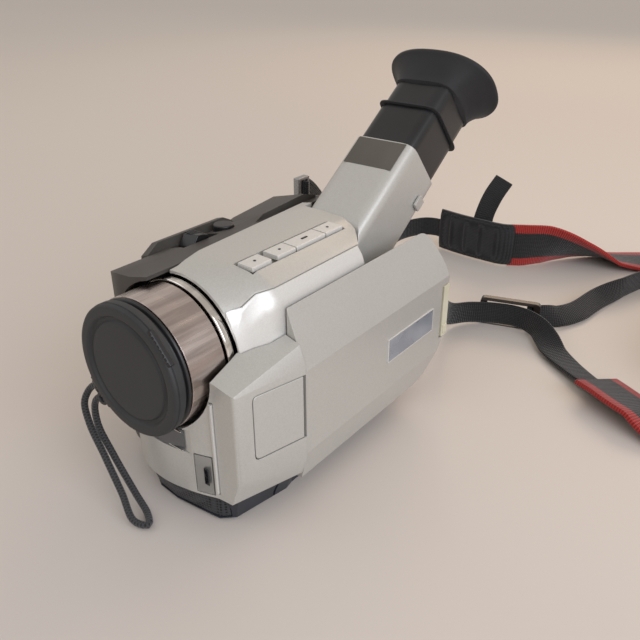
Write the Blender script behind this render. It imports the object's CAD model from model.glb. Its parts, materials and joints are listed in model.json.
"""A compact tape camcorder: finished pieces, soft goods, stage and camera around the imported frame."""

import json
import math

import bmesh
import bpy
from mathutils import Matrix, Vector

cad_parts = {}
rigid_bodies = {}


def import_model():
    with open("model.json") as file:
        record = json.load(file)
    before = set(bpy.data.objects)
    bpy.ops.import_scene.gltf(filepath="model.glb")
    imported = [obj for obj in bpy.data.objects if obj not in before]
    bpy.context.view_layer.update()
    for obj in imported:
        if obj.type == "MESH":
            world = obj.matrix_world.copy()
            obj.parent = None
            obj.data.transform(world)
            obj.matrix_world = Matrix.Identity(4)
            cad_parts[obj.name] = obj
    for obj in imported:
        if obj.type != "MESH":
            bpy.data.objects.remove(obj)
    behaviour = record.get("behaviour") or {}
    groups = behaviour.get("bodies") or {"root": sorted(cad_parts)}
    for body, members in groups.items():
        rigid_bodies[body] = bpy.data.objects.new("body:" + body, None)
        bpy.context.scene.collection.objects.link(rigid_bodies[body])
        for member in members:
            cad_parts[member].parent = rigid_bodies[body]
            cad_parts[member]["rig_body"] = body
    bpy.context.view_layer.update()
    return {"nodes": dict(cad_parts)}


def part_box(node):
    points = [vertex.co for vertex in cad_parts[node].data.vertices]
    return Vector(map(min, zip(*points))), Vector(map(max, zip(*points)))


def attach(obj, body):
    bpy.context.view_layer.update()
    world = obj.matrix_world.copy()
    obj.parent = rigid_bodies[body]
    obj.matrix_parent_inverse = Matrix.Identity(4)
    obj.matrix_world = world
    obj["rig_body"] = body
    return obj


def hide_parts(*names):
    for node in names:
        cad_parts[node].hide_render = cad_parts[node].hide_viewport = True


bl_info = {
    "name": "Compact Tape Camcorder",
    "version": (1, 0, 0),
    "blender": (4, 5, 0),
    "location": "3D Viewport > Sidebar > Camcorder",
    "description": "Builds the finished pieces of a compact tape camcorder around its frame",
    "category": "Object",
}

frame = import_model()
MM = 0.001

# Places are written in millimetres from the lens axis (X), the plane where the side curves begin (Y) and
# the table (Z). The sleeve round the lens says where that is in the frame.
SLEEVE_LOW, SLEEVE_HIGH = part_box("lens_barrel")
SHIFT = Vector(((SLEEVE_LOW.x + SLEEVE_HIGH.x) / 2, SLEEVE_LOW.y + 56.2 * MM, 0.0))
LENS_Z = 60.4
TILT = math.radians(35)
FINDER_PIVOT = (8.1, 48.0, 76.0)

CAMERA_PLACE = (168.2, -176.5, 182.5)
CAMERA_AIM = (20.55, 11.65, 54.67)
CAMERA_ROLL = math.radians(-0.27)
CAMERA_LENS = 39.92


def at(x, y, z):
    """A place in millimetres as a vector in the frame."""
    return Vector((x, y, z)) * MM + SHIFT


def finder_matrix():
    """From the viewfinder's own millimetres (X across, Y along it, Z up from its axis) to the frame."""
    turn = Matrix.Rotation(TILT, 4, "X")
    return Matrix.Translation(at(*FINDER_PIVOT)) @ turn @ Matrix.Scale(MM, 4)


def body_matrix():
    """From the body's millimetres to the frame."""
    return Matrix.Translation(SHIFT) @ Matrix.Scale(MM, 4)


# ---------------------------------------------------------------- colours and materials
def linear(code):
    """An sRGB hex colour as linear RGBA."""
    parts = [int(code[i:i + 2], 16) / 255 for i in (1, 3, 5)]
    return [c / 12.92 if c <= 0.04045 else ((c + 0.055) / 1.055) ** 2.4 for c in parts] + [1.0]


def add_node(tree, kind, settings=None, inputs=None, stops=()):
    """Adds a node. Its inputs are values, or sockets to link from; stops are a ramp's (place, hex) pairs."""
    made = tree.nodes.new(kind)
    for key, value in (settings or {}).items():
        setattr(made, key, value)
    for i, (place, code) in enumerate(stops):
        made.color_ramp.elements[i].position = place
        made.color_ramp.elements[i].color = linear(code)
    for key, value in (inputs or {}).items():
        if isinstance(value, bpy.types.NodeSocket):
            tree.links.new(value, made.inputs[key])
        else:
            made.inputs[key].default_value = value
    return made


def new_material(name, inputs, edge=0.25):
    """A material with a Principled shader, object coordinates and normals softened at its edges (in mm)."""
    material = bpy.data.materials.new(name)
    material.use_nodes = True
    tree = material.node_tree
    tree.nodes.clear()
    shader = add_node(tree, "ShaderNodeBsdfPrincipled", inputs=inputs)
    add_node(tree, "ShaderNodeOutputMaterial", inputs={"Surface": shader.outputs["BSDF"]})
    place = add_node(tree, "ShaderNodeTexCoord")
    soft = add_node(tree, "ShaderNodeBevel", {"samples": 4}, {"Radius": edge * MM})
    tree.links.new(soft.outputs["Normal"], shader.inputs["Normal"])
    return material, tree, shader, place.outputs["Object"], soft.outputs["Normal"]


def surface(tree, shader, colour=None, roughness=None, relief=None):
    """Links patterns to a shader: colour is (factor, low, high, start, end), roughness is (factor, low, high)
    and relief is (height, strength, depth in mm, normal or None)."""
    if colour:
        factor, low, high, start, end = colour
        ramp = add_node(tree, "ShaderNodeValToRGB", inputs={"Fac": factor}, stops=[(start, low), (end, high)])
        tree.links.new(ramp.outputs["Color"], shader.inputs["Base Color"])
    if roughness:
        factor, low, high = roughness
        reach = add_node(tree, "ShaderNodeMapRange", inputs={"Value": factor, "To Min": low, "To Max": high})
        tree.links.new(reach.outputs["Result"], shader.inputs["Roughness"])
    if relief:
        height, strength, depth, normal = relief
        bump = add_node(tree, "ShaderNodeBump", inputs={
            "Height": height, "Strength": strength, "Distance": depth * MM})
        if normal:
            tree.links.new(normal, bump.inputs["Normal"])
        tree.links.new(bump.outputs["Normal"], shader.inputs["Normal"])


def noise(tree, place, size, detail):
    """Noise with grains of about size mm."""
    made = add_node(tree, "ShaderNodeTexNoise", inputs={
        "Vector": place, "Scale": 1 / (size * MM), "Detail": detail})
    return made.outputs["Fac"]


def cells(tree, place, size, randomness=1.0):
    """Cells of about size mm: a node with a Color and a Distance."""
    return add_node(tree, "ShaderNodeTexVoronoi", inputs={
        "Vector": place, "Scale": 1 / (size * MM), "Randomness": randomness})


def stretched(tree, place, scale):
    """Coordinates multiplied by a scale, so that a pattern runs along the axes whose number is small."""
    return add_node(tree, "ShaderNodeMapping", inputs={"Vector": place, "Scale": scale}).outputs["Vector"]


def bands(tree, place, way, scale, distortion=0.0, detail_scale=1.0):
    """Bands of a sine wave across one way (X, Y, Z or DIAGONAL)."""
    made = add_node(tree, "ShaderNodeTexWave", {"bands_direction": way}, {
        "Vector": place, "Scale": scale, "Distortion": distortion, "Detail Scale": detail_scale})
    return made.outputs["Fac"]


def wave_scale(pitch):
    """The scale at which a wave texture has about one band every pitch mm."""
    return 1 / (pitch * MM) / math.pi


def calculate(tree, operation, first, second=0.5):
    """The result of one Math node."""
    return add_node(tree, "ShaderNodeMath", {"operation": operation}, {0: first, 1: second}).outputs["Value"]


def silver_paint(name, low, high, metallic=0.45):
    """Silver lacquer with aluminium flake, sprayed on moulded ABS: a soft sheen with a very fine sparkle."""
    material, tree, shader, place, soft = new_material(name, {
        "Metallic": metallic, "Coat Weight": 0.2, "Coat Roughness": 0.25})
    # Flake is about 0.05 mm; it is drawn at 0.3 mm so that it shows at all.
    flake = cells(tree, place, 0.3).outputs["Color"]
    surface(tree, shader, (flake, low, high, 0.1, 0.9), (noise(tree, place, 22, 3), 0.32, 0.46),
            (noise(tree, place, 0.8, 2), 0.08, 0.02, soft))
    return material


def moulded_plastic(name, low, high, roughness, grain, depth, coat=0.0):
    """Moulded ABS with a spark-eroded grain (its size in mm): small dull speckles, polished by use."""
    material, tree, shader, place, soft = new_material(name, {
        "IOR": 1.52, "Coat Weight": coat, "Coat Roughness": 0.3})
    broad = noise(tree, place, 14, 4)
    surface(tree, shader, (broad, low, high, 0.3, 0.7), (broad, roughness - 0.08, roughness + 0.08),
            (noise(tree, place, grain, 4), 0.5, depth, soft))
    return material


def turned_metal(name, low, high, roughness, pitch, depth, aniso):
    """Metal turned on a lathe and then anodised or polished: fine rings round the lens axis."""
    material, tree, shader, place, soft = new_material(name, {"Metallic": 1.0, "Anisotropic": aniso},
                                                       edge=0.15)
    # The lathe's marks run round, so the pattern changes only along Y. They are drawn coarser than life.
    rings = noise(tree, stretched(tree, place, (0.02, 1.0, 0.02)), pitch, 3)
    streaks = noise(tree, stretched(tree, place, (1.0, 0.06, 1.0)), 3.2, 4)
    surface(tree, shader, (streaks, low, high, 0.38, 0.64), (streaks, roughness * 0.7, roughness * 1.35),
            (rings, 0.35, depth, soft))
    return material


def rubber():
    """Soft moulded rubber: no gloss, a faint bloom that gathers grey dust, and a fine leathery skin."""
    material, tree, shader, place, soft = new_material("moulded_black_rubber", {
        "IOR": 1.5, "Sheen Weight": 0.12, "Sheen Roughness": 0.5})
    bloom = noise(tree, place, 9, 6)
    surface(tree, shader, (bloom, "#131315", "#212123", 0.3, 0.7), (bloom, 0.6, 0.86),
            (cells(tree, place, 0.6).outputs["Distance"], 0.25, 0.04, soft))
    return material


def wire_mesh():
    """Black-painted woven wire over foam: rows of small dark holes, 1.3 mm apart."""
    material, tree, shader, place, soft = new_material("woven_steel_mesh", {
        "Metallic": 0.3, "Roughness": 0.42})
    holes = cells(tree, place, 1.3, 0.15).outputs["Distance"]
    surface(tree, shader, (holes, "#050506", "#3A3D42", 0.26, 0.44), relief=(holes, 0.8, 0.35, soft))
    return material


def webbing(name, red_edge):
    """Woven polyester webbing: picks every 1.2 mm across, yarns 0.9 mm apart along, dull with a slight sheen.
    red_edge is the share of the width that each dyed edge takes. UV runs across (0 to 1) and along (in m)."""
    material, tree, shader, _, _ = new_material(name, {
        "Roughness": 0.82, "Sheen Weight": 0.3, "Sheen Roughness": 0.4})
    uv = add_node(tree, "ShaderNodeUVMap", {"uv_map": "UVMap"}).outputs["UV"]
    across = add_node(tree, "ShaderNodeSeparateXYZ", inputs={"Vector": uv}).outputs["X"]
    picks = bands(tree, uv, "Y", wave_scale(1.2), 0.6, 300.0)
    yarns = bands(tree, uv, "X", 9.0 if red_edge else 4.2, 0.15, 30.0)
    away = calculate(tree, "ABSOLUTE", calculate(tree, "SUBTRACT", across, 0.5))
    uneven = calculate(tree, "ADD", away, calculate(tree, "MULTIPLY", picks, 0.028))
    is_edge = calculate(tree, "GREATER_THAN", uneven, 0.5 - red_edge + 0.014 if red_edge else 2.0)
    black = add_node(tree, "ShaderNodeValToRGB", inputs={"Fac": yarns},
                     stops=[(0.3, "#0B0B0C"), (0.7, "#232325")])
    red = add_node(tree, "ShaderNodeValToRGB", inputs={"Fac": picks},
                   stops=[(0.3, "#7E1713"), (0.7, "#B82A22")])
    mix = add_node(tree, "ShaderNodeMix", {"data_type": "RGBA"}, {
        "Factor": is_edge, 6: black.outputs["Color"], 7: red.outputs["Color"]})
    tree.links.new(mix.outputs[2], shader.inputs["Base Color"])
    surface(tree, shader, relief=(calculate(tree, "ADD", picks, yarns), 0.9, 0.22, None))
    return material


def nylon_cloth():
    """Coarse nylon cloth over foam, a plain weave with threads 1 mm apart."""
    material, tree, shader, place, _ = new_material("padded_nylon_cloth", {
        "Roughness": 0.85, "Sheen Weight": 0.35, "Sheen Roughness": 0.4})
    warp, weft = [bands(tree, place, way, wave_scale(1.0), 0.4, 40.0) for way in "YZ"]
    weave = calculate(tree, "MULTIPLY", warp, weft)
    surface(tree, shader, (calculate(tree, "ADD", weave, noise(tree, place, 12, 5)), "#0D0D0E", "#2C2C2F",
                           0.35, 1.3),
            relief=(weave, 0.8, 0.25, None))
    return material


def braided_cord():
    """Thin braid of black nylon with grey flecks, a herringbone 1.1 mm long."""
    material, tree, shader, _, _ = new_material("braided_nylon_cord", {
        "Roughness": 0.75, "Sheen Weight": 0.3})
    uv = add_node(tree, "ShaderNodeUVMap", {"uv_map": "UVMap"}).outputs["UV"]
    strands = [bands(tree, stretched(tree, uv, (way, 1 / (1.8 * MM), 1.0)), "DIAGONAL", 1.0)
               for way in (2.0, -2.0)]
    braid = calculate(tree, "MAXIMUM", *strands)
    surface(tree, shader, (braid, "#070708", "#38383B", 0.45, 1.0), relief=(braid, 0.9, 0.2, None))
    return material


def coated_glass():
    """Multi-coated optical glass: nearly black from outside, with a faint violet and green reflection."""
    material, tree, shader, _, _ = new_material("coated_optical_glass", {
        "Roughness": 0.02, "IOR": 1.52, "Coat Weight": 1.0, "Coat Roughness": 0.02,
        "Specular IOR Level": 0.7})
    facing = add_node(tree, "ShaderNodeLayerWeight", inputs={"Blend": 0.35})
    surface(tree, shader, (facing.outputs["Facing"], "#0A0D16", "#2B1F45", 0.2, 0.85))
    return material


def dark_screen():
    """A switched-off liquid crystal screen behind clear acrylic: nearly black, faint rows of cells."""
    material, tree, shader, place, _ = new_material("liquid_crystal_glass", {
        "Roughness": 0.06, "IOR": 1.49, "Coat Weight": 0.6, "Coat Roughness": 0.03})
    rows = bands(tree, place, "Z", wave_scale(0.5))
    surface(tree, shader, (rows, "#0B0E12", "#12161B", 0.2, 0.8))
    return material


def printed_plate(name, low, high, roughness, metallic):
    """A thin printed and lacquered plate, with a shade that runs slowly across it."""
    material, tree, shader, place, _ = new_material(name, {
        "Metallic": metallic, "Coat Weight": 0.5, "Coat Roughness": 0.1})
    slope = noise(tree, place, 18, 1)
    surface(tree, shader, (slope, low, high, 0.35, 0.65), (slope, roughness * 0.8, roughness * 1.2))
    return material


def plated_steel():
    """Pressed steel with a dull nickel plate: fine scratches one way."""
    material, tree, shader, place, _ = new_material("nickel_plated_steel", {"Metallic": 1.0})
    lines = noise(tree, stretched(tree, place, (1.0, 0.08, 1.0)), 0.4, 3)
    surface(tree, shader, (lines, "#8E9092", "#B4B6B8", 0.3, 0.7), (lines, 0.22, 0.45))
    return material


def solder_mask():
    """A circuit board's green lacquer over copper tracks 0.6 mm apart."""
    material, tree, shader, place, _ = new_material("green_solder_mask",
                                                    {"Roughness": 0.35, "Coat Weight": 0.4})
    tracks = add_node(tree, "ShaderNodeTexBrick", inputs={
        "Vector": place, "Scale": 1 / (6 * MM), "Color1": linear("#1E5A38"), "Color2": linear("#256B43"),
        "Mortar": linear("#2F7F52"), "Mortar Size": 0.04})
    tree.links.new(tracks.outputs["Color"], shader.inputs["Base Color"])
    return material


FINISHES = {
    "silver": lambda: silver_paint("metallic_silver_paint", "#BDBCB7", "#C6C5C0"),
    "bright_silver": lambda: silver_paint("bright_silver_paint", "#D2D1CD", "#DAD9D5", 0.35),
    "dark": lambda: moulded_plastic("grained_dark_grey_abs", "#3A3733", "#4A4743", 0.52, 0.45, 0.05),
    "base": lambda: moulded_plastic("satin_blue_black_abs", "#20242B", "#2D323B", 0.45, 0.5, 0.04),
    "black": lambda: moulded_plastic("satin_black_abs", "#0E0F11", "#17181B", 0.4, 0.5, 0.02, coat=0.1),
    "tube": lambda: moulded_plastic("smooth_black_polycarbonate", "#0B0C0E", "#14161A", 0.36, 0.6, 0.01,
                                    coat=0.12),
    "cap": lambda: moulded_plastic("matte_black_abs", "#232527", "#2E3032", 0.56, 0.4, 0.04),
    "buckle": lambda: moulded_plastic("glossy_brown_acetal", "#1A1512", "#2C2521", 0.28, 0.8, 0.02, coat=0.3),
    "ivory": lambda: moulded_plastic("ivory_abs", "#C2BDA5", "#D2CDB8", 0.45, 0.6, 0.02),
    "rubber": rubber,
    "sleeve": lambda: turned_metal("anodised_champagne_aluminium", "#A79C98", "#CFC3BE", 0.26, 0.12, 0.02,
                                   0.5),
    "polished": lambda: turned_metal("polished_bright_aluminium", "#CFCBC6", "#ECE8E2", 0.12, 0.3, 0.01, 0.3),
    "mesh": wire_mesh,
    "webbing": lambda: webbing("black_polyester_webbing", 0.0),
    "red_webbing": lambda: webbing("red_edged_polyester_webbing", 5 / 27),
    "cloth": nylon_cloth,
    "cord": braided_cord,
    "glass": coated_glass,
    "screen": dark_screen,
    "plate": lambda: printed_plate("dark_lacquered_plate", "#4A4B4E", "#6A6B6E", 0.3, 0.4),
    "badge": lambda: printed_plate("blue_grey_lacquered_plate", "#8C939E", "#A9B0BA", 0.28, 0.45),
    "label": lambda: printed_plate("dark_printed_label", "#4B4740", "#57524A", 0.5, 0.1),
    "window": lambda: printed_plate("smoked_window_over_silver", "#8F8F8C", "#A5A5A1", 0.12, 0.5),
    "steel": plated_steel,
    "red": lambda: moulded_plastic("glossy_red_abs", "#8F1A15", "#B3241F", 0.25, 1.0, 0.005, coat=0.6),
    "board": solder_mask,
}
MADE = {}


def finish(name):
    """The material for a finish, made once."""
    if name not in MADE:
        MADE[name] = FINISHES[name]()
    return MADE[name]


# ---------------------------------------------------------------- meshes and pieces
def piece(name, bm, look, body, stands_for=(), weighted=True, matrix=None):
    """Makes a finished piece of a bmesh: its material, its body and the CAD nodes that it stands for."""
    if matrix is not None:
        bmesh.ops.transform(bm, matrix=matrix, verts=bm.verts)
    for face in bm.faces:
        face.smooth = True
    for edge in bm.edges:
        edge.smooth = not edge.is_manifold or edge.calc_face_angle(0) < math.radians(48)
    mesh = bpy.data.meshes.new(name)
    bm.to_mesh(mesh)
    bm.free()
    mesh.materials.append(finish(look))
    made = bpy.data.objects.new(name, mesh)
    bpy.context.scene.collection.objects.link(made)
    if weighted:
        normals = made.modifiers.new("Even normals", "WEIGHTED_NORMAL")
        normals.keep_sharp = True
    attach(made, body)
    if stands_for:
        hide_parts(*stands_for)
    return made


def merged_copy(node):
    """A CAD node's mesh with its doubles merged and its flat faces joined."""
    bm = bmesh.new()
    bm.from_mesh(frame["nodes"][node].data)
    bmesh.ops.remove_doubles(bm, verts=bm.verts, dist=2e-6)
    bmesh.ops.dissolve_degenerate(bm, dist=2e-6, edges=bm.edges)
    bmesh.ops.dissolve_limit(bm, angle_limit=math.radians(0.8), verts=bm.verts, edges=bm.edges)
    return bm


def soften(bm, width, angle=30, segments=2):
    """Bevels every edge that turns by more than the angle."""
    sharp = [e for e in bm.edges if e.is_manifold and e.calc_face_angle(0) > math.radians(angle)]
    bmesh.ops.bevel(bm, geom=sharp, offset=width * MM, offset_type="OFFSET", segments=segments, profile=0.5,
                    affect="EDGES", clamp_overlap=True, material=-1)


def refined(node, look, width, angle=30, segments=2):
    """A merged and bevelled copy of a CAD node, which stands for it."""
    bm = merged_copy(node)
    soften(bm, width, angle, segments)
    body = frame["nodes"][node]["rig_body"]
    return piece(node + "_finished", bm, look, body, [node])


def dress(node, look):
    """A CAD node that stays as it is and takes a better material."""
    mesh = frame["nodes"][node].data
    mesh.materials.clear()
    mesh.materials.append(finish(look))


def spun(profile, steps=96):
    """A solid turned about the lens axis from [radius, y] points in millimetres, closed into itself."""
    bm = bmesh.new()
    points = [bm.verts.new((r, y, 0)) for r, y in profile]
    closed = profile[0] == profile[-1]
    if closed:
        bm.verts.remove(points.pop())
    pairs = list(zip(points, points[1:])) + ([(points[-1], points[0])] if closed else [])
    edges = [bm.edges.new(pair) for pair in pairs]
    bmesh.ops.spin(bm, geom=points + edges, cent=(0, 0, 0), axis=(0, 1, 0), angle=math.tau, steps=steps,
                   use_merge=True)
    bmesh.ops.remove_doubles(bm, verts=bm.verts, dist=1e-4)
    bmesh.ops.recalc_face_normals(bm, faces=bm.faces)
    return bm


def round_piece(name, profile, look, body, stands_for=(), centre=(0, 0, LENS_Z), steps=96, turn=None):
    """A turned piece, with its axis along Y through the centre, or turned from there."""
    bm = spun(profile, steps)
    matrix = body_matrix() @ Matrix.Translation(centre)
    return piece(name, bm, look, body, stands_for, matrix=matrix @ turn if turn else matrix)


def rounded_block(size, radius):
    """A block about the origin, size in millimetres, with every edge rounded."""
    bm = bmesh.new()
    bmesh.ops.create_cube(bm, size=1.0)
    bmesh.ops.scale(bm, vec=size, verts=bm.verts)
    bmesh.ops.bevel(bm, geom=bm.edges[:], offset=radius, offset_type="OFFSET", segments=3, profile=0.5,
                    affect="EDGES", clamp_overlap=True, material=-1)
    return bm


def block(name, size, radius, place, look, body, matrix=None):
    """A rounded block at a place in the body's millimetres, or in those of another matrix, as a piece."""
    bm = rounded_block(size, radius)
    bmesh.ops.translate(bm, vec=place, verts=bm.verts)
    return piece(name, bm, look, body, matrix=matrix or body_matrix())


def close(bm):
    """Fills a tube's open ends and turns its faces outward."""
    bmesh.ops.holes_fill(bm, edges=[e for e in bm.edges if e.is_boundary], sides=0)
    bmesh.ops.recalc_face_normals(bm, faces=bm.faces)


def squared(value, power):
    """A sine or cosine raised to a power with its sign kept: below 1 it squares a circle's corners."""
    return math.copysign(abs(value) ** power, value)


# ---------------------------------------------------------------- curves for straps and cords
CURVE_STEPS = 40  # points measured between two given points of a curve


def catmull(points, count):
    """Points at even steps along a centripetal curve, with each step's place in the list of given points."""
    ends = [points[0] * 2 - points[1], *points, points[-1] * 2 - points[-2]]

    def on_curve(place):
        index = min(int(place), len(points) - 2)
        p0, p1, p2, p3 = ends[index:index + 4]
        t0 = 0.0
        t1 = t0 + max((p1 - p0).length ** 0.5, 1e-9)
        t2 = t1 + max((p2 - p1).length ** 0.5, 1e-9)
        t3 = t2 + max((p3 - p2).length ** 0.5, 1e-9)
        t = t1 + (place - index) * (t2 - t1)
        a1 = p0 * ((t1 - t) / (t1 - t0)) + p1 * ((t - t0) / (t1 - t0))
        a2 = p1 * ((t2 - t) / (t2 - t1)) + p2 * ((t - t1) / (t2 - t1))
        a3 = p2 * ((t3 - t) / (t3 - t2)) + p3 * ((t - t2) / (t3 - t2))
        b1 = a1 * ((t2 - t) / (t2 - t0)) + a2 * ((t - t0) / (t2 - t0))
        b2 = a2 * ((t3 - t) / (t3 - t1)) + a3 * ((t - t1) / (t3 - t1))
        return b1 * ((t2 - t) / (t2 - t1)) + b2 * ((t - t1) / (t2 - t1))

    fine = CURVE_STEPS * (len(points) - 1)
    places = [i / CURVE_STEPS for i in range(fine + 1)]
    dense = [on_curve(p) for p in places]
    run = [0.0]
    for a, b in zip(dense, dense[1:]):
        run.append(run[-1] + (b - a).length)
    found = []
    j = 0
    for i in range(count + 1):
        want = run[-1] * i / count
        while j < fine - 1 and run[j + 1] < want:
            j += 1
        share = (want - run[j]) / max(run[j + 1] - run[j], 1e-9)
        found.append((dense[j].lerp(dense[j + 1], min(max(share, 0), 1)), places[j] + share / CURVE_STEPS))
    return found, run[-1]


def band_rows(route, width, step, lanes):
    """Rows of points across a band that follows a route of (x, y, z, turn), and the band's length."""
    points = [Vector(p[:3]) for p in route]
    _, length = catmull(points, 10)
    count = round(length / step)
    steps, length = catmull(points, count)
    rows = []
    for i, (centre, place) in enumerate(steps):
        along = (steps[min(i + 1, count)][0] - steps[max(i - 1, 0)][0]).normalized()
        index = min(int(place), len(route) - 2)
        turn = math.radians(route[index][3] + (route[index + 1][3] - route[index][3]) * (place - index))
        level = Vector((0, 0, 1)).cross(along).normalized()
        across = Matrix.Rotation(turn, 3, along) @ level
        rows.append([centre + across * width * (lane / (lanes - 1) - 0.5) for lane in range(lanes)])
    return rows, length


def band(name, route, width, thick, look, body, stands_for=(), step=2.5, lanes=7):
    """A strap of flat webbing with UVs across (0 to 1) and along (in metres)."""
    rows, length = band_rows(route, width, step, lanes)
    bm = bmesh.new()
    uv = bm.loops.layers.uv.new("UVMap")
    grid = [[bm.verts.new(p) for p in row] for row in rows]
    for i in range(len(grid) - 1):
        for lane in range(lanes - 1):
            corners = [(i, lane), (i, lane + 1), (i + 1, lane + 1), (i + 1, lane)]
            face = bm.faces.new([grid[a][b] for a, b in corners])
            for loop, (a, b) in zip(face.loops, corners):
                loop[uv].uv = (b / (lanes - 1), a / (len(grid) - 1) * length * MM)
    made = piece(name, bm, look, body, stands_for, weighted=False, matrix=body_matrix())
    wall = made.modifiers.new("Webbing thickness", "SOLIDIFY")
    wall.thickness = thick * MM
    wall.offset = 0.0
    edges = made.modifiers.new("Woven edge", "BEVEL")
    edges.width = min(0.5, thick * 0.35) * MM
    edges.segments = 2
    edges.limit_method = "ANGLE"


def stitches(name, lane_points, body, every):
    """Rows of sewn thread: short rounded stitches laid end to end along lines of points, in millimetres."""
    bm = bmesh.new()
    for line in lane_points:
        run = 0.0
        for a, b in zip(line, line[1:]):
            piece_length = (b - a).length
            run += piece_length
            if run < every:
                continue
            run = 0.0
            along = (b - a).normalized()
            matrix = Matrix.Translation(b) @ along.to_track_quat("X", "Z").to_matrix().to_4x4()
            matrix = matrix @ Matrix.Diagonal((every * 0.4, 0.28, 0.28, 1.0))
            bmesh.ops.create_icosphere(bm, subdivisions=1, radius=1.0, matrix=matrix)
    piece(name, bm, "webbing", body, weighted=False, matrix=body_matrix())


# ---------------------------------------------------------------- routes of the bands and the cord
# (x, y, z, turn) in millimetres and degrees, as the frame's own bands: turn 0 lies flat, 90 is on edge.
NARROW, THIN = 12.0, 1.5
WIDE, THICK = 27.0, 2.2
LEFT_WEB = [
    (18.6, 66.4, 53.4, 90), (22.7, 66.4, 53.4, 90), (26.6, 67.6, 53.2, 90), (28.6, 73, 52, 90),
    (28, 84, 46, 90), (24, 100, 32, 90), (19, 116, 16, 90), (17.6, 127, 8.6, 90), (23, 137.6, 7, 90),
    (34.5, 145, 7, 90), (47.5, 148.3, 7, 90), (58, 144.6, 6.8, 74), (66, 138.6, 5, 36), (73, 132, 3, 6),
    (84, 124.4, 2.2, -6), (95.6, 117, 2.4, -12), (102.6, 113.4, 3, -15),
]
WIDE_PLAN = [
    (99, 115.2, -14), (106, 111.6, -15), (113, 107.8, -15), (123, 103.4, -15), (142, 97, 20), (160, 98, 60),
    (173, 114, 86), (177, 150, 90), (176, 205, 90), (167, 226, 90), (156, 212, 90), (153, 180, 90),
    (151, 150, 90), (142, 136, 90), (132, 150, 90), (130, 195, 90), (132, 240, 84), (124, 268, 50),
    (102, 282, 12), (76, 276, -2), (58, 265, 8), (40, 250, 40), (24, 236, 78), (13, 226.2, 90),
    (6, 221.8, 90),
]
END_PIECE = [(8.4, 222.8, 14.4, 90), (2, 219.6, 14.4, 90), (-12, 219, 14.4, 90), (-28, 219.6, 14.4, 90),
             (-42, 221.6, 14.4, 90)]
RIGHT_WEB = [
    (-28.8, 66.4, 80.4, 90), (-32.6, 66.4, 80.4, 90), (-36.2, 67.6, 80.2, 90), (-37.8, 74, 79, 90),
    (-40, 86, 70, 90), (-46.4, 108, 48, 90), (-54, 134, 26, 90), (-60, 160, 14, 90), (-63, 188, 12, 90),
    (-61, 208, 13, 90), (-54, 219, 13.8, 90), (-46.4, 221.4, 14.4, 90), (-36, 220.6, 14.4, 90),
]
TAIL = [
    (50, 150.4, 7, 80), (56, 158, 6.5, 70), (62, 166, 5.2, 40), (67, 178, 4.6, 34), (71, 200, 5.2, 44),
    (78, 220, 6.4, 85), (84, 238, 6.6, 90), (92, 254, 6.6, 90),
]
SPARE_END = [(-14, 222.4, 20, 90), (-13, 223.6, 30, 60), (-11, 229, 41, 40), (-8, 236, 50, 34)]
CORD_ROUTE = [
    (-18, -61.4, 42.4), (-18.2, -57.6, 42), (-22.4, -56.4, 39.4), (-28, -58.6, 35.6), (-26.4, -60.6, 28),
    (-17.6, -61.6, 17), (-6.4, -62.6, 6), (2, -64.6, 2.4), (5.8, -67.6, 1.9), (1, -69.9, 2.6),
    (-8.6, -66.8, 8), (-19, -64.6, 18.4), (-28.8, -62.4, 27.6), (-33.2, -60, 34), (-32, -56.8, 39),
    (-26.4, -55.6, 41.4),
]


def resting(plan, width, thick):
    """Gives a plan of (x, y, turn) the height at which the band just rests on the table."""
    found = []
    for x, y, turn in plan:
        a = abs(math.radians(turn))
        found.append((x, y, (width * math.sin(a) + thick * math.cos(a)) / 2 + 0.6, turn))
    return found


# ---------------------------------------------------------------- sizes and colours that a user may change
class CamcorderSizes(bpy.types.PropertyGroup):
    """Sizes of the finished pieces."""
    edge: bpy.props.FloatProperty(
        name="Edge rounding", description="Rounding of the painted shells' edges, in mm", default=0.55,
        min=0.1, max=1.2)
    fine_edge: bpy.props.FloatProperty(
        name="Fine edge rounding", description="Rounding of small pieces' edges, in mm", default=0.3,
        min=0.05, max=0.8)
    cord_width: bpy.props.FloatProperty(
        name="Cord width", description="Width of the cap's braided cord, in mm", default=2.6, min=1.0,
        max=3.0)
    key_mark: bpy.props.FloatProperty(
        name="Key mark", description="Width of the raised marks on the keys, in mm", default=0.9, min=0.4,
        max=2.0)
    lamp_power: bpy.props.FloatProperty(
        name="Main lamp", description="Power of the large soft lamp", default=10.0, min=0.0, max=100.0,
        unit="POWER")


class CamcorderColours(bpy.types.PropertyGroup):
    """Colours of the stage."""
    floor: bpy.props.FloatVectorProperty(
        name="Floor", description="Colour of the floor", default=linear("#CFC7C0")[:3], subtype="COLOR",
        size=3,
        min=0.0, max=1.0)
    lamp: bpy.props.FloatVectorProperty(
        name="Main lamp", description="Colour of the large soft lamp", default=linear("#EFF4FF")[:3],
        subtype="COLOR", size=3, min=0.0, max=1.0)
    glow: bpy.props.FloatVectorProperty(
        name="Warm lamp", description="Colour of the warm lamp behind", default=linear("#FFDDBB")[:3],
        subtype="COLOR", size=3, min=0.0, max=1.0)


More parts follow.
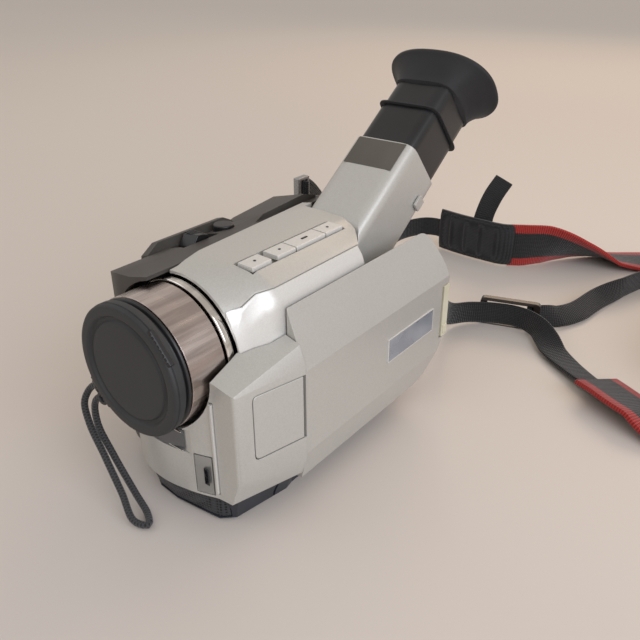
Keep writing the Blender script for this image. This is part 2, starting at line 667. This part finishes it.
# ---------------------------------------------------------------- the stage
class CAMCORDER_OT_stage(bpy.types.Operator):
    """Adds the floor, the soft lamps and the camera"""
    bl_idname = "camcorder.stage"
    bl_label = "Stage and Camera"

    def execute(self, context):
        """Builds everything that isn't part of the camcorder."""
        sizes, colours = context.scene.camcorder_sizes, context.scene.camcorder_colours
        bm = bmesh.new()
        bmesh.ops.create_grid(bm, x_segments=2, y_segments=2, size=20.0)
        mesh = bpy.data.meshes.new("floor")
        bm.to_mesh(mesh)
        bm.free()
        floor = bpy.data.objects.new("floor", mesh)
        context.scene.collection.objects.link(floor)
        material, tree, shader, place, _ = new_material("painted_table_top", {"Roughness": 0.42, "IOR": 1.45})
        cloud = add_node(tree, "ShaderNodeTexNoise", inputs={"Vector": place, "Scale": 1.6, "Detail": 2})
        base = Vector(colours.floor)
        ramp = add_node(tree, "ShaderNodeValToRGB", inputs={"Fac": cloud.outputs["Fac"]})
        ramp.color_ramp.elements[0].color = [*(base * 0.97), 1.0]
        ramp.color_ramp.elements[1].color = [*(base * 1.02), 1.0]
        tree.links.new(ramp.outputs["Color"], shader.inputs["Base Color"])
        mesh.materials.append(material)

        world = bpy.data.worlds.new("soft_room")
        world.use_nodes = True
        background = world.node_tree.nodes["Background"]
        background.inputs["Color"].default_value = linear("#EDE6DF")
        background.inputs["Strength"].default_value = 0.72
        context.scene.world = world

        def lamp(name, place, aim, size, power, colour):
            data = bpy.data.lights.new(name, "AREA")
            data.shape = "RECTANGLE"
            data.size, data.size_y = size
            data.energy = power
            data.color = colour
            made = bpy.data.objects.new(name, data)
            made.location = place
            made.rotation_euler = (aim - made.location).to_track_quat("-Z", "Y").to_euler()
            context.scene.collection.objects.link(made)

        middle = Vector((0.0, 0.0, 0.05))
        for name, place, size, share, colour in [
            ("window", (1.05, -0.35, 0.62), (1.1, 0.8), 1.0, colours.lamp),
            ("room", (-0.1, 1.2, 0.75), (1.2, 0.5), 0.45, colours.glow),
            ("left", (-0.9, -0.7, 0.8), (0.8, 0.6), 0.12, colours.lamp),
        ]:
            lamp(name, Vector(place), middle, size, sizes.lamp_power * share, Vector(colour))

        camera = bpy.data.objects.new("camera", bpy.data.cameras.new("camera"))
        camera.data.sensor_width = 36.0
        camera.data.lens = CAMERA_LENS
        camera.location = at(*CAMERA_PLACE)
        aim = at(*CAMERA_AIM) - camera.location
        turn = aim.to_track_quat("-Z", "Y").to_matrix() @ Matrix.Rotation(CAMERA_ROLL, 3, "Z")
        camera.rotation_euler = turn.to_euler()
        camera.data.clip_start, camera.data.clip_end = 0.01, 20.0
        context.scene.collection.objects.link(camera)
        context.scene.camera = camera
        context.scene.view_settings.view_transform = "Standard"
        return {"FINISHED"}


# ---------------------------------------------------------------- soft goods
class CAMCORDER_OT_straps(bpy.types.Operator):
    """Adds the shoulder strap's bands, their sewn end and spare end"""
    bl_idname = "camcorder.straps"
    bl_label = "Shoulder Strap"

    def execute(self, context):
        """Builds the bands where the frame's own bands lie."""
        band("left_webbing", LEFT_WEB, NARROW, THIN, "webbing", "camcorder", ["strap_left_web"], step=1.8)
        band("wide_webbing", resting(WIDE_PLAN, WIDE, THICK), WIDE, THICK, "red_webbing", "camcorder",
             ["shoulder_strap"], step=2.5, lanes=9)
        band("right_webbing", RIGHT_WEB, NARROW, THIN, "webbing", "camcorder", ["strap_right_web"], step=1.8)
        band("spare_webbing", SPARE_END, NARROW, THIN, "webbing", "camcorder", step=1.5)
        band("tail_webbing", TAIL, NARROW, THIN, "webbing", "camcorder", step=1.8)
        self.end_piece()
        refined("strap_buckle", "buckle", 0.4)
        return {"FINISHED"}

    def end_piece(self):
        """The sewn end: two layers of webbing over a stiffener, with four sewn ribs and rows of stitches."""
        lanes, ribs = 9, 5
        rows, _ = band_rows(END_PIECE, 26.4, 1.0, lanes)
        count = len(rows)
        bm = bmesh.new()
        sides = ([], [])
        for i, row in enumerate(rows):
            share = i / (count - 1)
            rib = 0.75 * max(0.0, math.cos(share * ribs * math.tau)) ** 2
            end = min(1.0, min(share, 1 - share) / 0.06) ** 0.5
            along = (rows[min(i + 1, count - 1)][lanes // 2] - rows[max(i - 1, 0)][lanes // 2]).normalized()
            across = (row[-1] - row[0]).normalized()
            out = along.cross(across)
            for side, sign in zip(sides, (-1, 1)):
                line = []
                for lane, point in enumerate(row):
                    edge = abs(lane / (lanes - 1) - 0.5) * 2
                    half = (1.5 + rib * (1 - edge ** 6) + 0.55 * (1 - edge ** 4)) * (0.55 + 0.45 * end)
                    half *= 1 - 0.55 * edge ** 8
                    line.append(bm.verts.new(point + out * half * sign))
                side.append(line)
        for side in sides:
            for i in range(count - 1):
                for lane in range(lanes - 1):
                    bm.faces.new([side[i][lane], side[i][lane + 1], side[i + 1][lane + 1], side[i + 1][lane]])
        bmesh.ops.bridge_loops(bm, edges=[e for e in bm.edges if e.is_boundary])
        bmesh.ops.recalc_face_normals(bm, faces=bm.faces)
        made = piece("strap_sewn_end", bm, "cloth", "camcorder", ["strap_end_piece"], weighted=False,
                     matrix=body_matrix())
        lines = []
        for share in (0.05, 0.95):
            row = rows[round(share * (count - 1))]
            out = Vector((0, -2.1, 0))
            lines.append([row[0].lerp(row[-1], 0.06 + 0.88 * k / 40) + out for k in range(41)])
        for lane in (0.06, 0.94):
            lines.append([row[0].lerp(row[-1], lane) + Vector((0, -2.0, 0)) for row in rows[2:-2]])
        stitches("strap_stitches", lines, "camcorder", every=1.9)


class CAMCORDER_OT_cap_cord(bpy.types.Operator):
    """Adds the lens cap's braided cord"""
    bl_idname = "camcorder.cap_cord"
    bl_label = "Cap Cord"

    def execute(self, context):
        """A tube along the cord's route, with UVs round and along it."""
        width = context.scene.camcorder_sizes.cord_width
        sides, count = 12, 90
        steps, length = catmull([Vector(p) for p in CORD_ROUTE], count)
        bm = bmesh.new()
        uv = bm.loops.layers.uv.new("UVMap")
        rings = []
        normal = None
        for i, (centre, _) in enumerate(steps):
            along = (steps[min(i + 1, count)][0] - steps[max(i - 1, 0)][0]).normalized()
            if normal is None:
                normal = along.orthogonal()
            else:
                normal = (normal - along * normal.dot(along)).normalized()
            other = along.cross(normal)
            rings.append([bm.verts.new(centre + (normal * math.cos(a) + other * math.sin(a)) * width / 2)
                          for a in (k / sides * math.tau for k in range(sides))])
        for i in range(len(rings) - 1):
            for k in range(sides):
                corners = [(i, k), (i, k + 1), (i + 1, k + 1), (i + 1, k)]
                face = bm.faces.new([rings[a][b % sides] for a, b in corners])
                for loop, (a, b) in zip(face.loops, corners):
                    loop[uv].uv = (b / sides, a / count * length * MM)
        close(bm)
        cord = piece("cap_cord_braid", bm, "cord", "cap", ["cap_cord"], weighted=False, matrix=body_matrix())
        knot = self.knot()
        return {"FINISHED"}

    def knot(self):
        """The overhand knot that ties the cord's two ends together behind the cap."""
        bm = bmesh.new()
        bmesh.ops.create_uvsphere(bm, u_segments=32, v_segments=20, radius=1.0)
        for vert in bm.verts:
            turn = math.atan2(vert.co.y, vert.co.x)
            vert.co *= 1 + 0.13 * math.cos(3 * turn + 5 * vert.co.z)
        bmesh.ops.scale(bm, vec=(3.3, 2.6, 3.4), verts=bm.verts)
        bmesh.ops.translate(bm, vec=(-25.6, -56.0, 41.2), verts=bm.verts)
        return piece("cap_cord_knot", bm, "cord", "cap", weighted=False, matrix=body_matrix())


PAD_RINGS = [
    (-38.5, 37.35, 7.6, 1.1), (-34, 37.35, 7.6, 1.1), (-30.5, 37.5, 8, 1.3), (-26, 40.0, 10.5, 3.4),
    (-20, 45.2, 14, 6.4), (-14, 49.4, 16.2, 7.8), (-8, 52.2, 17, 8.4), (0, 54.2, 17.7, 8.7),
    (6, 54.8, 18, 8.8), (12, 54.2, 17.7, 8.7), (20, 52.2, 17, 8.4), (26, 49.4, 16.2, 7.8),
    (32, 45.2, 14, 6.4), (38, 40.0, 10.5, 3.4), (42.5, 37.5, 8, 1.3), (46, 37.35, 7.6, 1.1),
    (50.5, 37.35, 7.6, 1.1),
]


class CAMCORDER_OT_hand_strap(bpy.types.Operator):
    """Adds the padded hand strap on the tape door"""
    bl_idname = "camcorder.hand_strap"
    bl_label = "Hand Strap"

    def execute(self, context):
        """A crowned pad from ring to ring, with a piping seam round it and a grip flap."""
        lines = [catmull([Vector((y, x, 0)) for y, x, _, _ in PAD_RINGS], 60)[0],
                 catmull([Vector((y, h, t)) for y, _, h, t in PAD_RINGS], 60)[0]]
        bm = bmesh.new()
        sides, middle, corner = 36, 44, 2 / 3.2
        rings = []
        for (first, _), (second, _) in zip(*lines):
            y, x, half, deep = first.x, -first.y, second.y, second.z
            ring = []
            for k in range(sides):
                a = k / sides * math.tau
                dz = half * squared(math.sin(a), corner)
                dx = deep / 2 * squared(math.cos(a), corner)
                ring.append(bm.verts.new((x + dx, y, middle + dz)))
            rings.append(ring)
        for a, b in zip(rings, rings[1:]):
            for k in range(sides):
                bm.faces.new([a[k], a[(k + 1) % sides], b[(k + 1) % sides], b[k]])
        close(bm)
        pad = piece("hand_strap_pad", bm, "cloth", "tape_door", ["hand_strap"], weighted=False,
                    matrix=body_matrix())
        seam = []
        for side in (-1, 1):
            line = []
            for (first, _), (second, _) in zip(*lines):
                if second.z > 3.6:
                    height = middle + side * (second.y - 2.6)
                    line.append(Vector((-first.y - second.z * 0.47, first.x, height)))
            seam.append(line)
        stitches("hand_strap_stitches", seam, "tape_door", every=2.2)
        return {"FINISHED"}


# ---------------------------------------------------------------- the lens
class CAMCORDER_OT_lens(bpy.types.Operator):
    """Adds the lens sleeve, its rings, its glass and the lens cap"""
    bl_idname = "camcorder.lens"
    bl_label = "Lens and Cap"

    def execute(self, context):
        """Turns each round piece from its profile."""
        round_piece("lens_sleeve", [
            (22.0, -56.2), (23.2, -56.2), (23.6, -55.9), (23.6, -41.7), (23.4, -41.4), (22.0, -41.4),
            (22.0, -56.2),
        ], "sleeve", "camcorder", ["lens_barrel"], steps=128)
        round_piece("lens_bright_ring", [
            (16.4, -40.5), (23.6, -40.5), (24.05, -40.2), (24.2, -39.8), (24.2, -37.9), (24.0, -37.5),
            (23.4, -37.4), (16.4, -37.4), (16.4, -40.5),
        ], "polished", "camcorder", ["barrel_ring"], steps=128)
        round_piece("lens_hood_ring", [
            (19.2, -58.4), (19.5, -58.6), (22.1, -58.6), (22.4, -58.3), (22.4, -58.0), (22.15, -57.85),
            (22.4, -57.7), (23.1, -57.4), (23.4, -57.1), (23.4, -56.55), (21.6, -56.55), (21.6, -52.2),
            (16.4, -52.2), (16.4, -54.6), (17.0, -55.0), (17.2, -54.8), (17.8, -55.2), (18.0, -55.0),
            (18.6, -55.4), (19.2, -55.6), (19.2, -58.4),
        ], "black", "camcorder", ["hood_ring"], steps=128)
        round_piece("lens_inner_tube", [
            (13.8, -51.2), (15.1, -51.2), (15.4, -50.9), (15.4, 8.6), (13.8, 8.6), (13.8, -51.2),
        ], "black", "camcorder", ["lens_tube"], steps=64)
        round_piece("lens_front_glass", [
            (0, -52.6), (2.5, -52.53), (5, -52.3), (7.4, -51.86), (9.5, -51.2), (11.6, -50.3),
            (13.1, -49.4), (13.4, -49.1), (13.4, -46.5), (0, -46.4),
        ], "glass", "camcorder", ["front_lens"], steps=64)
        self.cap()
        for node, look in {"zoom_group": "glass", "focus_group": "glass", "image_sensor": "board"}.items():
            dress(node, look)
        return {"FINISHED"}

    def cap(self):
        """The cap: a raised rim, a groove, a dished middle, and the two sprung grips that reach its sides."""
        round_piece("lens_cap_dish", [
            (0, -62.55), (8, -62.6), (15.6, -62.7), (16.9, -62.72), (17.3, -62.6), (17.55, -62.2),
            (17.9, -61.9), (18.7, -61.9), (19.1, -62.1), (19.5, -62.8), (19.9, -63.1), (20.3, -63.2),
            (22.2, -63.2), (22.9, -63.0), (23.35, -62.5), (23.45, -61.9), (23.3, -61.75), (23.3, -61.55),
            (23.6, -61.4), (23.6, -59.3), (23.4, -59.0), (18.2, -59.0), (18.2, -56.4), (17.0, -56.4),
            (17.0, -60.2), (0, -60.2),
        ], "cap", "cap", ["lens_cap"], steps=128)
        for side in (-1, 1):
            bm = rounded_block((3.0, 2.2, 12.6), 0.5)
            bmesh.ops.translate(bm, vec=(side * 22.3, -61.6, LENS_Z), verts=bm.verts)
            for k in range(7):
                bmesh.ops.create_cube(bm, size=1.0, matrix=Matrix.Translation(
                    (side * 22.6, -62.7, LENS_Z - 4.5 + k * 1.5)) @ Matrix.Diagonal((2.0, 0.5, 0.55, 1.0)))
            turn = Matrix.Translation((0, 0, LENS_Z)) @ Matrix.Rotation(math.radians(-40), 4, "Y")
            matrix = body_matrix() @ turn @ Matrix.Translation((0, 0, -LENS_Z))
            piece(f"lens_cap_grip_{'left' if side > 0 else 'right'}", bm, "black", "cap", matrix=matrix)
        round_piece("lens_cap_eyelet", [
            (1.2, -62.0), (1.5, -62.4), (2.3, -62.4), (2.6, -62.1), (2.6, -59.4), (2.3, -59.1),
            (1.2, -59.1), (1.2, -62.0),
        ], "cap", "cap", centre=(-18, 0, 42.4), steps=32)


# ---------------------------------------------------------------- painted covers
class CAMCORDER_OT_covers(bpy.types.Operator):
    """Adds the painted and moulded covers, the base and their trim"""
    bl_idname = "camcorder.covers"
    bl_label = "Covers and Base"

    def execute(self, context):
        """Bevelled copies of the frame's covers, and small pieces on them."""
        edge = context.scene.camcorder_sizes.edge
        fine = context.scene.camcorder_sizes.fine_edge
        for node, look, width in [
            ("front_cover", "silver", edge), ("top_cover", "silver", fine),
            ("left_cover", "bright_silver", fine), ("right_cover", "dark", edge),
            ("rear_cover", "dark", edge), ("base_cover", "base", edge), ("microphone_grille", "mesh", fine),
            ("jack_cover", "silver", fine), ("badge_plate", "plate", 0.15),
            ("trim_strip", "bright_silver", 0.15), ("sensor_window", "window", 0.15),
            ("tripod_socket", "steel", 0.2), ("left_strap_lug", "steel", 0.4),
            ("right_strap_lug", "steel", 0.4),
        ]:
            refined(node, look, width)
        self.plate_border()
        self.sensor_spot()
        self.screws()
        return {"FINISHED"}

    def plate_border(self):
        """A thin bright rim round the blank plate on the front."""
        low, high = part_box("badge_plate")
        for name, x in (("front_plate_rim_low", low.z), ("front_plate_rim_high", high.z)):
            bm = rounded_block((15.6, 0.5, 0.45), 0.15)
            centre = ((low.x + high.x) / 2 - SHIFT.x, low.y - SHIFT.y, x)
            bmesh.ops.translate(bm, vec=[c / MM for c in centre], verts=bm.verts)
            bmesh.ops.translate(bm, vec=(0, 0.5, 0.35 if "low" in name else -0.35), verts=bm.verts)
            piece(name, bm, "polished", "camcorder", matrix=body_matrix())

    def sensor_spot(self):
        """The dark sensor behind one side of the clear window."""
        low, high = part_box("sensor_window")
        x, y, z = (Vector((high.x, low.y, (low.z + high.z) / 2)) - SHIFT) / MM
        block("sensor_spot", (2.2, 0.4, 7.0), 0.18, (x - 1.6, y + 0.75, z), "screen", "camcorder")

    def screws(self):
        """Small cross-head screws in the base."""
        for i, spot in enumerate([(-20, -24, 0.25), (20, -24, 0.25), (-20, 44, 0.25), (20, 44, 0.25)]):
            bm = spun([(0, -0.1), (1.5, -0.1), (1.9, 0.15), (1.9, 0.9), (0, 0.9)], 24)
            for turn in (0, math.pi / 2):
                bmesh.ops.create_cube(bm, size=1.0, matrix=Matrix.Rotation(turn, 4, "Y") @ Matrix.Translation(
                    (0, -0.14, 0)) @ Matrix.Diagonal((1.7, 0.1, 0.35, 1.0)))
            matrix = body_matrix() @ Matrix.Translation(spot) @ Matrix.Rotation(math.radians(90), 4, "X")
            piece(f"base_screw_{i + 1}", bm, "steel", "camcorder", matrix=matrix)


# ---------------------------------------------------------------- controls
class CAMCORDER_OT_controls(bpy.types.Operator):
    """Adds the keys, buttons, levers and the dial"""
    bl_idname = "camcorder.controls"
    bl_label = "Keys and Controls"

    def execute(self, context):
        """Bevelled copies of the controls with their ribs and marks."""
        fine = context.scene.camcorder_sizes.fine_edge
        for i in range(1, 5):
            refined(f"function_key_{i}", "bright_silver", fine)
            self.key_mark(i, context.scene.camcorder_sizes.key_mark)
        for node, look, width in [
            ("zoom_lever", "black", 0.5), ("snapshot_button", "black", 0.5),
            ("battery_latch", "black", 0.5), ("power_dial", "black", 0.6), ("record_button", "red", 0.7),
            ("diopter_slider", "silver", fine),
        ]:
            refined(node, look, width)
        self.lever_ribs()
        self.dial_ribs()
        return {"FINISHED"}

    def key_mark(self, i, width):
        """A small raised bar or dot in the middle of a key, so that a finger finds it."""
        low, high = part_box(f"function_key_{i}")
        centre = (low + high) / 2 - SHIFT
        long = 3.2 if i == 3 else width
        place = (centre.x / MM, centre.y / MM, high.z / MM - 0.1)
        block(f"key_mark_{i}", (width, long, 0.5), 0.2, place, "black", f"key_{i}")

    def lever_ribs(self):
        """Ribs across the zoom lever, for the fingertip."""
        for k in range(4):
            place = (-25, -8.6 + k * 1.25, 85.15 - k * 0.16)
            block(f"zoom_lever_rib_{k + 1}", (7.0, 0.55, 0.6), 0.2, place, "black", "zoom_rocker")

    def dial_ribs(self):
        """Knurls round the mode dial."""
        bm = bmesh.new()
        count = 36
        for k in range(count):
            turn = Matrix.Rotation(k / count * math.tau, 4, "Y") @ Matrix.Translation((9.0, 64.0, 0))
            bmesh.ops.create_cube(bm, size=1.0, matrix=turn @ Matrix.Diagonal((0.5, 2.4, 0.7, 1.0)))
        bmesh.ops.translate(bm, vec=(-21.6, 0, 67.8), verts=bm.verts)
        piece("mode_dial_knurls", bm, "black", "mode_dial", matrix=body_matrix())


# ---------------------------------------------------------------- the monitor
class CAMCORDER_OT_monitor(bpy.types.Operator):
    """Adds the folding monitor, its screen, latch, hinge and badge"""
    bl_idname = "camcorder.monitor"
    bl_label = "Folding Monitor"

    def execute(self, context):
        """The panel with its facets kept crisp, and a blank badge on its outer side."""
        edge = context.scene.camcorder_sizes.edge
        for node, look, width, angle in [
            ("monitor_shell", "silver", edge, 12), ("monitor_frame", "black", 0.3, 30),
            ("monitor_screen", "screen", 0.15, 30), ("monitor_latch", "ivory", 0.5, 30),
            ("monitor_hinge", "black", 0.4, 30),
        ]:
            refined(node, look, width, angle)
        block("monitor_badge", (0.5, 34.0, 10.0), 0.18, (41.05, 46, 39.9), "badge", "monitor")
        for name, size, place in [
            ("monitor_badge_rim_low", (0.7, 34.6, 0.5), (41.0, 46, 34.8)),
            ("monitor_badge_rim_high", (0.7, 34.6, 0.5), (41.0, 46, 45.0)),
            ("monitor_badge_rim_front", (0.7, 0.5, 10.4), (41.0, 28.9, 39.9)),
            ("monitor_badge_rim_rear", (0.7, 0.5, 10.4), (41.0, 63.1, 39.9)),
        ]:
            block(name, size, 0.16, place, "bright_silver", "monitor")
        block("monitor_latch_tab", (1.2, 3.0, 4.2), 0.4, (41.2, 74.2, 31), "ivory", "monitor_catch")
        return {"FINISHED"}


# ---------------------------------------------------------------- the viewfinder
class CAMCORDER_OT_viewfinder(bpy.types.Operator):
    """Adds the tilting viewfinder with its sliding tube, eyepiece and eyecup"""
    bl_idname = "camcorder.viewfinder"
    bl_label = "Viewfinder"

    def execute(self, context):
        """The painted arm, the black tube in it, and the rubber cup on its end."""
        refined("viewfinder_housing", "silver", 0.7)
        for node in ("viewfinder_tube", "eyepiece_barrel"):
            refined(node, "tube", 0.5)
        self.eyecup()
        in_place = body_matrix().inverted() @ finder_matrix()
        round_piece("eyepiece_glass", [
            (0, 64), (9.0, 64), (9.2, 64.2), (9.2, 66.6), (7, 67.5), (5, 68), (2.5, 68.4), (0, 68.5),
        ], "glass", "finder_tube", ["eyepiece_lens"], centre=(0, 0, 0), steps=48, turn=in_place)
        dress("viewfinder_display", "screen")
        block("viewfinder_label", (23.0, 14.0, 0.3), 0.12, (0, 30.4, 15.1), "label", "viewfinder",
              finder_matrix())
        self.seam()
        return {"FINISHED"}

    def seam(self):
        """The joint between the two black lengths of the tube, as a thin recessed band."""
        bm = bmesh.new()
        bmesh.ops.create_circle(bm, segments=96, radius=1.0)
        for vert in bm.verts:
            angle = math.atan2(vert.co.y, vert.co.x)
            x, z = squared(math.cos(angle), 0.28), squared(math.sin(angle), 0.28)
            vert.co = (x * 14.9, 60.1 - z * 2.0, z * 15.44)
        made = bmesh.ops.extrude_edge_only(bm, edges=bm.edges[:])
        far = [g for g in made["geom"] if isinstance(g, bmesh.types.BMVert)]
        bmesh.ops.translate(bm, vec=(0, 0.6, 0), verts=far)
        close(bm)
        piece("viewfinder_tube_seam", bm, "rubber", "finder_tube", matrix=finder_matrix())

    def eyecup(self):
        """The soft cup: it flares from the tube's rounded square to a wide oval with a thick rolled rim."""
        rings = [
            (73.85, 15.0, 15.4, 2.0, 4.2), (75.2, 15.35, 15.5, 1.95, 4.0), (77.0, 16.3, 15.9, 1.8, 3.6),
            (79.0, 17.9, 16.6, 1.6, 3.3), (81.0, 19.8, 17.4, 1.3, 3.0), (83.0, 22.2, 18.5, 1.0, 2.8),
            (84.3, 24.2, 19.4, 0.8, 2.6), (84.7, 25.3, 19.9, 0.75, 2.5), (85.4, 25.9, 20.2, 0.7, 2.4),
            (86.1, 25.9, 20.1, 0.65, 2.4), (86.5, 25.3, 19.6, 0.6, 2.4), (86.4, 24.6, 19.0, 0.6, 2.4),
            (85.6, 23.6, 18.2, 0.6, 2.4), (84.4, 22.2, 17.0, 0.8, 2.4), (81.6, 17.2, 15.0, 1.1, 2.4),
            (78.6, 12.8, 12.9, 1.5, 2.4), (74.6, 11.2, 11.3, 1.8, 2.2), (71.0, 9.9, 9.9, 2.0, 2.0),
        ]
        bm = bmesh.new()
        sides = 96
        bmesh.ops.create_circle(bm, segments=sides, radius=1.0)
        loop = list(bm.verts)
        angles = [math.atan2(v.co.y, v.co.x) for v in loop]
        last = None
        for y, rx, rz, lean, power in rings:
            if last is not None:
                made = bmesh.ops.extrude_edge_only(bm, edges=last)
                new = [g for g in made["geom"] if isinstance(g, bmesh.types.BMVert)]
                loop = [min(new, key=lambda v, s=s: (v.co - s.co).length) for s in loop]
                edges = [g for g in made["geom"] if isinstance(g, bmesh.types.BMEdge)]
                last = [e for e in edges if all(v in new for v in e.verts)]
            else:
                last = list(bm.edges)
            for vert, a in zip(loop, angles):
                z = rz * squared(math.sin(a), 2 / power)
                vert.co = (rx * squared(math.cos(a), 2 / power), y - z / rz * lean, z)
        bmesh.ops.bridge_loops(bm, edges=[e for e in bm.edges if e.is_boundary])
        bmesh.ops.recalc_face_normals(bm, faces=bm.faces)
        piece("eyecup_finished", bm, "rubber", "finder_tube", ["eyecup"], matrix=finder_matrix())


# ---------------------------------------------------------------- tape side, battery and insides
class CAMCORDER_OT_tape_side(bpy.types.Operator):
    """Adds the tape door, the battery and the pieces inside"""
    bl_idname = "camcorder.tape_side"
    bl_label = "Tape Side and Battery"

    def execute(self, context):
        """Bevelled door and battery, and materials for what shows when the door is open."""
        edge = context.scene.camcorder_sizes.edge
        refined("cassette_door", "dark", 0.4)
        refined("battery_pack", "dark", edge + 0.5)
        refined("cassette", "base", 0.4)
        refined("cassette_holder", "steel", 0.15)
        for node, look in {
            "tape_chassis": "steel", "head_drum": "steel", "supply_reel_table": "black",
            "take_up_reel_table": "black", "main_board": "board",
        }.items():
            dress(node, look)
        for k in range(6):
            block(f"battery_rib_{k + 1}", (26.0, 0.5, 0.8), 0.2, (-5, 84.0, 28 + k * 2.2), "dark", "battery")
        return {"FINISHED"}


# ---------------------------------------------------------------- sidebar and start
STEPS = [
    CAMCORDER_OT_stage, CAMCORDER_OT_straps, CAMCORDER_OT_cap_cord, CAMCORDER_OT_hand_strap,
    CAMCORDER_OT_lens, CAMCORDER_OT_covers, CAMCORDER_OT_controls, CAMCORDER_OT_monitor,
    CAMCORDER_OT_viewfinder, CAMCORDER_OT_tape_side,
]


class CAMCORDER_PT_panel(bpy.types.Panel):
    """Sizes, colours and steps in the 3D view's sidebar"""
    bl_idname = "CAMCORDER_PT_panel"
    bl_label = "Camcorder"
    bl_space_type = "VIEW_3D"
    bl_region_type = "UI"
    bl_category = "Camcorder"

    def draw(self, context):
        """Lists the sizes and colours, then the steps."""
        for group in (context.scene.camcorder_sizes, context.scene.camcorder_colours):
            for name in type(group).__annotations__:
                self.layout.prop(group, name)
        for step in STEPS:
            self.layout.operator(step.bl_idname)


CLASSES = [CamcorderSizes, CamcorderColours, *STEPS, CAMCORDER_PT_panel]


def register():
    """Registers the classes and puts their settings on the scene."""
    for each in CLASSES:
        bpy.utils.register_class(each)
    bpy.types.Scene.camcorder_sizes = bpy.props.PointerProperty(type=CamcorderSizes)
    bpy.types.Scene.camcorder_colours = bpy.props.PointerProperty(type=CamcorderColours)


def unregister():
    """Takes the settings and the classes away again."""
    del bpy.types.Scene.camcorder_sizes
    del bpy.types.Scene.camcorder_colours
    for each in reversed(CLASSES):
        bpy.utils.unregister_class(each)


def main():
    """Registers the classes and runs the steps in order."""
    register()
    for step in STEPS:
        group, name = step.bl_idname.split(".")
        getattr(getattr(bpy.ops, group), name)()


if __name__ == "__main__":
    main()
